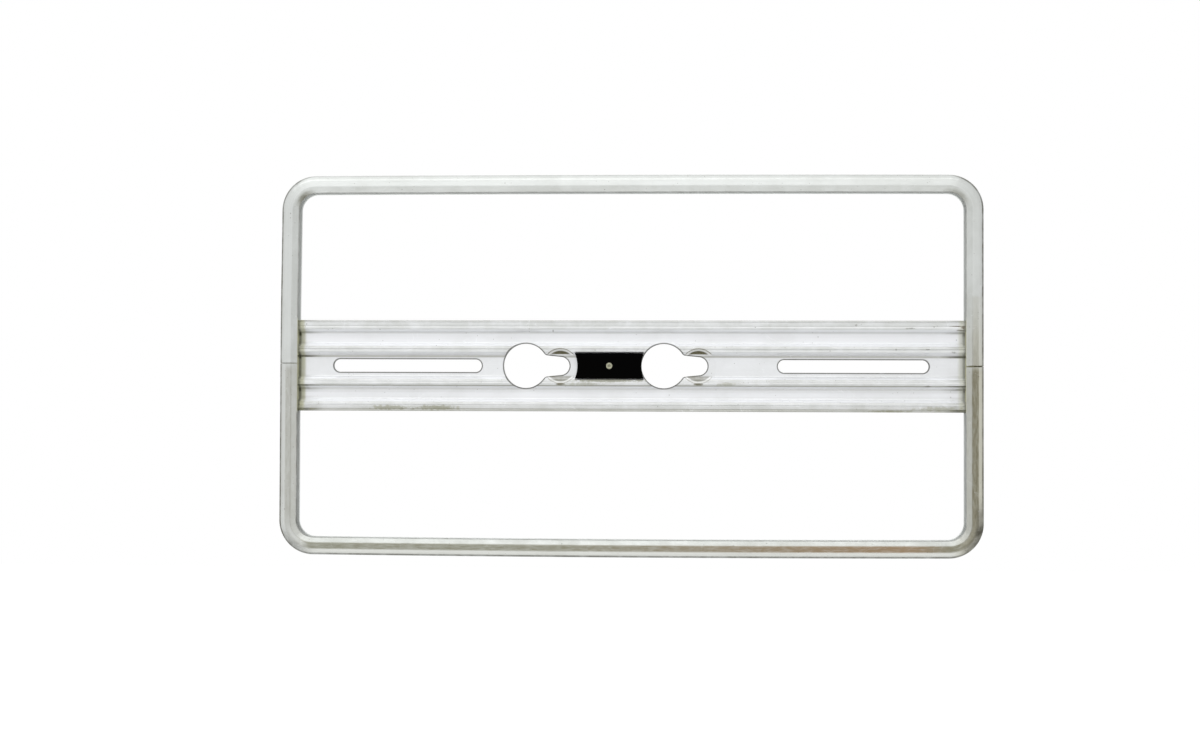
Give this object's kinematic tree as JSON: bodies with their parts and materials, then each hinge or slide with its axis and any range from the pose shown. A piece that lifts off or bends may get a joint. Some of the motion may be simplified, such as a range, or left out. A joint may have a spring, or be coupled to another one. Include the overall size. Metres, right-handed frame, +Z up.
{
  "type": "number plate holder",
  "caption": "Rectangular aluminium rail frame in bent halves on a ribbed cross bar, with long slots and keyholes to fix it behind a vehicle and a groove for a changeable number plate.",
  "frame": {"origin": "centre of the cross bar's back plane, midway between the two long slots", "axes": "+X to the right seen from the front, +Z up, the front faces -Y and the vehicle lies on +Y"},
  "size_m": [0.3072, 0.0096, 0.1672],
  "materials": {
    "rail_aluminium": "aged anodised aluminium, satin, with brown grime on the lower half",
    "bar_aluminium": "mill finish aluminium extrusion, pale, with die lines along it",
    "black_strip": "matt black enamel on thin sheet",
    "rivet_aluminium": "dull aluminium with a dirty dished head",
    "screw_steel": "dull zinc plated steel"
  },
  "bodies": {
    "root": {"upper_frame_half": "rail_aluminium", "lower_frame_half": "rail_aluminium", "cross_bar": "bar_aluminium", "blank_strip": "black_strip", "strip_rivet": "rivet_aluminium", "retaining_screw_upper_left": "screw_steel", "retaining_screw_upper_right": "screw_steel", "retaining_screw_lower_left": "screw_steel", "retaining_screw_lower_right": "screw_steel"}
  },
  "joints": []
}
